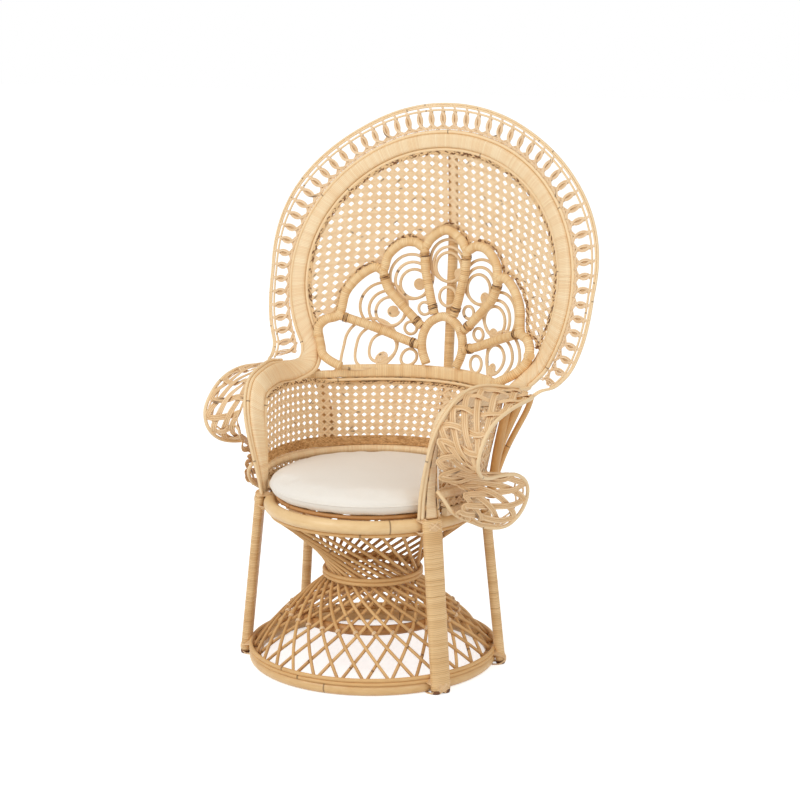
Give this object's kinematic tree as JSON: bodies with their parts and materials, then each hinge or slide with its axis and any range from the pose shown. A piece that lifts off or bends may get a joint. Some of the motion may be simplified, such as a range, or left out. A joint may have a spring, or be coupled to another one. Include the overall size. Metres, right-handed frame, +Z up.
{
  "type": "peacock chair",
  "caption": "Rattan peacock chair with a tall round woven back, rolled arm shells, a spun lattice pedestal and a loose round seat cushion.",
  "frame": {"origin": "middle of the bounding box, on the floor", "axes": "+Z up; the chair faces -Y; left and right are as seen from the front, so right is +X"},
  "size_m": [0.929, 0.6796, 1.32],
  "materials": {
    "pole": "satin",
    "rod": "satin",
    "peel": "satin",
    "cane": "satin",
    "cushion_linen": "matte"
  },
  "bodies": {
    "root": {"back_bar": "peel", "back_bar_bead": "rod", "back_panel": "cane", "base_ring": "pole", "bell_inner_rods": "rod", "bell_outer_rods": "rod", "bell_stretcher_ring": "pole", "centre_post": "pole", "centre_scroll": "rod", "hoop_band": "peel", "hoop_inner_bead": "rod", "hoop_outer_bead": "rod", "lace_inner_rod": "rod", "lace_outer_rod": "rod", "lace_strand": "rod", "left_arm_band": "peel", "left_arm_inner_bead": "rod", "left_arm_outer_bead": "rod", "left_arm_shell": "cane", "left_brace_aft": "pole", "left_brace_fore": "pole", "left_brace_mid": "pole", "left_front_leg_aft_pole": "peel", "left_front_leg_fore_pole": "peel", "left_inner_scroll": "rod", "left_middle_scroll": "rod", "left_outer_scroll": "rod", "left_rear_leg": "peel", "left_shell_rim": "rod", "lower_panel": "cane", "lower_panel_rail": "peel", "petal_frame": "peel", "right_arm_band": "peel", "right_arm_inner_bead": "rod", "right_arm_outer_bead": "rod", "right_arm_shell": "cane", "right_brace_aft": "pole", "right_brace_fore": "pole", "right_brace_mid": "pole", "right_front_leg_aft_pole": "peel", "right_front_leg_fore_pole": "peel", "right_inner_scroll": "rod", "right_middle_scroll": "rod", "right_outer_scroll": "rod", "right_rear_leg": "peel", "right_shell_rim": "rod", "seat_bearer_front": "pole", "seat_bearer_rear": "pole", "seat_deck_ring": "pole", "seat_ring": "pole", "seat_slat_1": "cane", "seat_slat_2": "cane", "seat_slat_3": "cane", "seat_slat_4": "cane", "seat_slat_5": "cane", "waist_ring_lower": "rod", "waist_ring_upper": "rod"},
    "cushion": {"cushion": "cushion_linen"}
  },
  "joints": [
    {"name": "cushion_lift", "type": "slide", "parent": "root", "child": "cushion", "axis": [0, 0, 1], "range_m": [0, 0.12]}
  ]
}
